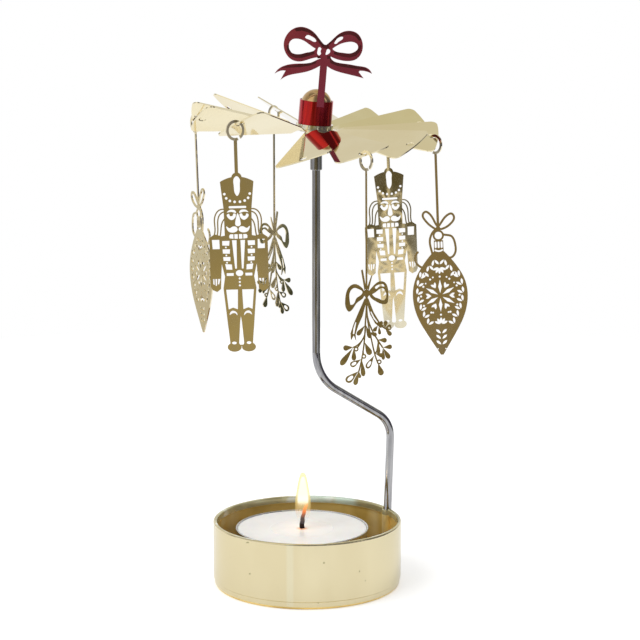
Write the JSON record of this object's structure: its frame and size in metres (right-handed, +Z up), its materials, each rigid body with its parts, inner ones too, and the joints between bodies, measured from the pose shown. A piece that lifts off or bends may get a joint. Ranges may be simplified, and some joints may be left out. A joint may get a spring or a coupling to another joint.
{
  "type": "angel chime carousel tealight holder",
  "caption": "Free-standing tealight cup with a bent wire post, a heat-driven blade rotor hung with flat cut-out figures, and a bow topper.",
  "frame": {"origin": "centre of the cup's underside, on the surface that it stands on", "axes": "+Z up along the post, +X to the right and +Y to the back as in the picture; the post's foot is at +X"},
  "size_m": [0.079, 0.0717, 0.1586],
  "materials": {
    "cup_brass": "satin",
    "bright_wire": "polished",
    "needle_steel": "satin",
    "hub_brass": "polished",
    "blade_brass": "polished",
    "figure_brass": "polished",
    "red_lacquer": "gloss",
    "can_aluminium": "satin",
    "candle_wax": "matte",
    "wick_cotton": "matte"
  },
  "bodies": {
    "base": {"base_cup": "cup_brass", "post_rod": "bright_wire", "needle_sleeve": "bright_wire", "pivot_needle": "needle_steel"},
    "bearing": {"bearing_seat": "needle_steel"},
    "rotor": {"hub_cap": "hub_brass", "hub_washer": "hub_brass", "rotor_blades": "blade_brass"},
    "topper": {"topper_band": "red_lacquer", "topper_bow": "red_lacquer"},
    "tealight": {"tealight_can": "can_aluminium", "tealight_wax": "candle_wax", "wick_clip": "can_aluminium", "tealight_wick": "wick_cotton"},
    "nutcracker_front_pendant": {"nutcracker_front": "figure_brass"},
    "mistletoe_front_pendant": {"mistletoe_front": "figure_brass"},
    "bauble_right_pendant": {"bauble_right": "figure_brass"},
    "nutcracker_rear_pendant": {"nutcracker_rear": "figure_brass"},
    "mistletoe_rear_pendant": {"mistletoe_rear": "figure_brass"},
    "bauble_left_pendant": {"bauble_left": "figure_brass"}
  },
  "joints": [
    {"name": "rotor_lift", "type": "slide", "parent": "base", "child": "bearing", "axis": [0, 0, 1], "range_m": [0, 0.015]},
    {"name": "rotor_spin", "type": "hinge", "parent": "bearing", "child": "rotor", "pos_m": [0.0026, 0.0012, 0.137], "axis": [0, 0, 1], "continuous": true},
    {"name": "topper_lift", "type": "slide", "parent": "rotor", "child": "topper", "axis": [0.0819, -0.0782, 0.9936], "range_m": [0, 0.012]},
    {"name": "tealight_lift", "type": "slide", "parent": "base", "child": "tealight", "axis": [0, 0, 1], "range_m": [0, 0.03]},
    {"name": "nutcracker_front_swing", "type": "hinge", "parent": "rotor", "child": "nutcracker_front_pendant", "pos_m": [-0.01881, -0.02542, 0.13149], "axis": [-0.5299, 0.848, 0], "range_deg": [-12, 20]},
    {"name": "mistletoe_front_swing", "type": "hinge", "parent": "rotor", "child": "mistletoe_front_pendant", "pos_m": [0.0158, -0.02931, 0.12377], "axis": [-0.788, -0.6157, 0], "range_deg": [-12, 20]},
    {"name": "bauble_right_swing", "type": "hinge", "parent": "rotor", "child": "bauble_right_pendant", "pos_m": [0.03562, -0.00238, 0.12641], "axis": [-0.788, -0.6157, 0], "range_deg": [-12, 20]},
    {"name": "nutcracker_rear_swing", "type": "hinge", "parent": "rotor", "child": "nutcracker_rear_pendant", "pos_m": [0.02337, 0.02866, 0.1288], "axis": [0.7071, -0.7071, 0], "range_deg": [-12, 20]},
    {"name": "mistletoe_rear_swing", "type": "hinge", "parent": "rotor", "child": "mistletoe_rear_pendant", "pos_m": [-0.01002, 0.03421, 0.133], "axis": [0.788, 0.6157, 0], "range_deg": [-12, 20]},
    {"name": "bauble_left_swing", "type": "hinge", "parent": "rotor", "child": "bauble_left_pendant", "pos_m": [-0.0315, 0.00629, 0.13189], "axis": [0.848, 0.5299, 0], "range_deg": [-12, 20]}
  ]
}
